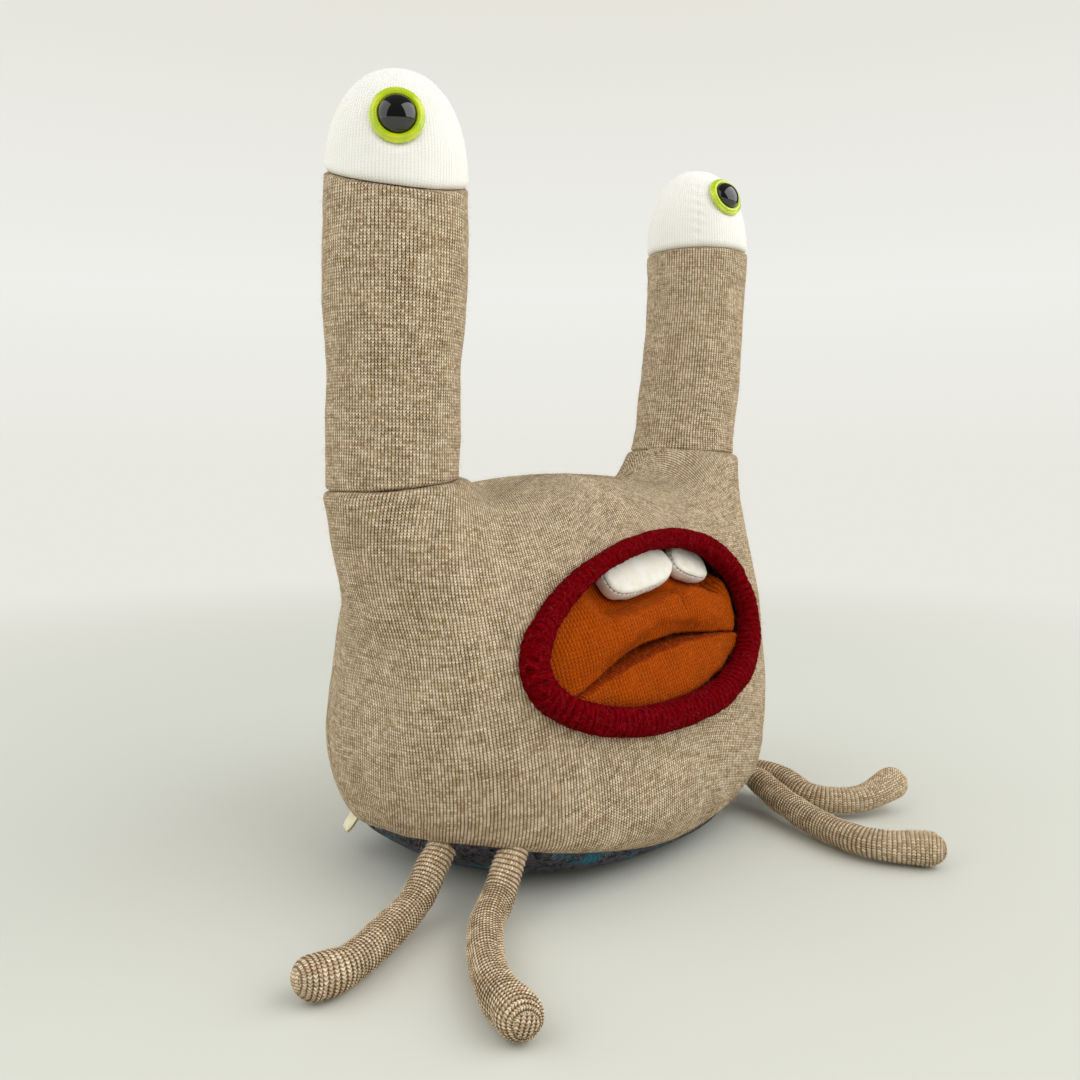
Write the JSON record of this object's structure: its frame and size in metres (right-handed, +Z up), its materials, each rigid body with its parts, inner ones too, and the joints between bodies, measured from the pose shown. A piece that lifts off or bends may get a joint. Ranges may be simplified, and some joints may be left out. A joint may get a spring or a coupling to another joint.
{
  "type": "plush monster",
  "caption": "Hand-sewn knitted plush monster with a flat base, tall eyestalks with safety eyes, a padded mouth in a ribbed lip, soft teeth and sprawling rib-knit legs.",
  "frame": {"origin": "centre of the flat underside of the base panel", "axes": "+Z up, the mouth faces -Y, -X is the toy's own right"},
  "size_m": [0.373, 0.2801, 0.3837],
  "materials": {
    "beige_knit": "heather beige wool jersey knit, matt",
    "white_knit": "white felted knit, matt",
    "red_rib": "deep red ribbed wool, matt",
    "orange_knit": "burnt orange felted knit, matt",
    "tweed": "grey and blue wool tweed, matt",
    "fibrefill": "white polyester stuffing",
    "lime_plastic": "glossy lime green moulding",
    "black_plastic": "polished black dome",
    "washer_plastic": "plain white moulding",
    "tag_tape": "pale cream woven tape"
  },
  "bodies": {
    "body": {"body_front": "beige_knit", "body_back": "beige_knit", "base_panel": "tweed", "body_stuffing": "fibrefill", "lip_ring": "red_rib", "mouth_lining_upper": "orange_knit", "mouth_lining_lower": "orange_knit", "side_tag": "tag_tape"},
    "eyestalk_right": {"eyestalk_cover_right": "beige_knit", "eyestalk_cap_right": "white_knit", "eyestalk_stuffing_right": "fibrefill", "eye_rim_right": "lime_plastic", "eye_pupil_right": "black_plastic", "eye_washer_right": "washer_plastic"},
    "eyestalk_left": {"eyestalk_cover_left": "beige_knit", "eyestalk_cap_left": "white_knit", "eyestalk_stuffing_left": "fibrefill", "eye_rim_left": "lime_plastic", "eye_pupil_left": "black_plastic", "eye_washer_left": "washer_plastic"},
    "tooth_right": {"tooth_right": "white_knit"},
    "tooth_left": {"tooth_left": "white_knit"},
    "leg_right_rear": {"leg_cover_right_rear": "beige_knit", "leg_stuffing_right_rear": "fibrefill"},
    "leg_right_front": {"leg_cover_right_front": "beige_knit", "leg_stuffing_right_front": "fibrefill"},
    "leg_left_front": {"leg_cover_left_front": "beige_knit", "leg_stuffing_left_front": "fibrefill"},
    "leg_left_rear": {"leg_cover_left_rear": "beige_knit", "leg_stuffing_left_rear": "fibrefill"}
  },
  "joints": [
    {"name": "eyestalk_right_bend", "type": "hinge", "parent": "body", "child": "eyestalk_right", "pos_m": [-0.1155, 0, 0.20262], "axis": [1, 0, 0], "range_deg": [-18, 18], "stiffness_Nm_per_rad": 0.6},
    {"name": "eyestalk_left_bend", "type": "hinge", "parent": "body", "child": "eyestalk_left", "pos_m": [0.116, 0, 0.21817], "axis": [1, 0, 0], "range_deg": [-18, 18], "stiffness_Nm_per_rad": 0.6},
    {"name": "tooth_right_lift", "type": "hinge", "parent": "body", "child": "tooth_right", "pos_m": [0.0015, -0.04589, 0.14966], "axis": [-0.9889, -0.0443, -0.1417], "range_deg": [0, 12]},
    {"name": "tooth_left_lift", "type": "hinge", "parent": "body", "child": "tooth_left", "pos_m": [0.0515, -0.04587, 0.14855], "axis": [-0.9671, 0.0414, 0.251], "range_deg": [0, 12]},
    {"name": "leg_right_rear_swing", "type": "hinge", "parent": "body", "child": "leg_right_rear", "pos_m": [-0.12242, -0.02916, 0.01911], "axis": [-0.3375, 0.9413, 0], "range_deg": [-60, 55]},
    {"name": "leg_right_front_swing", "type": "hinge", "parent": "body", "child": "leg_right_front", "pos_m": [-0.1017, -0.06281, 0.01904], "axis": [-0.7548, 0.656, 0], "range_deg": [-60, 55]},
    {"name": "leg_left_front_swing", "type": "hinge", "parent": "body", "child": "leg_left_front", "pos_m": [0.09584, -0.06334, 0.0141], "axis": [-0.9947, 0.1033, 0], "range_deg": [-60, 30]},
    {"name": "leg_left_rear_swing", "type": "hinge", "parent": "body", "child": "leg_left_rear", "pos_m": [0.11069, -0.04287, 0.01366], "axis": [-0.8994, -0.437, 0], "range_deg": [-60, 25]}
  ]
}
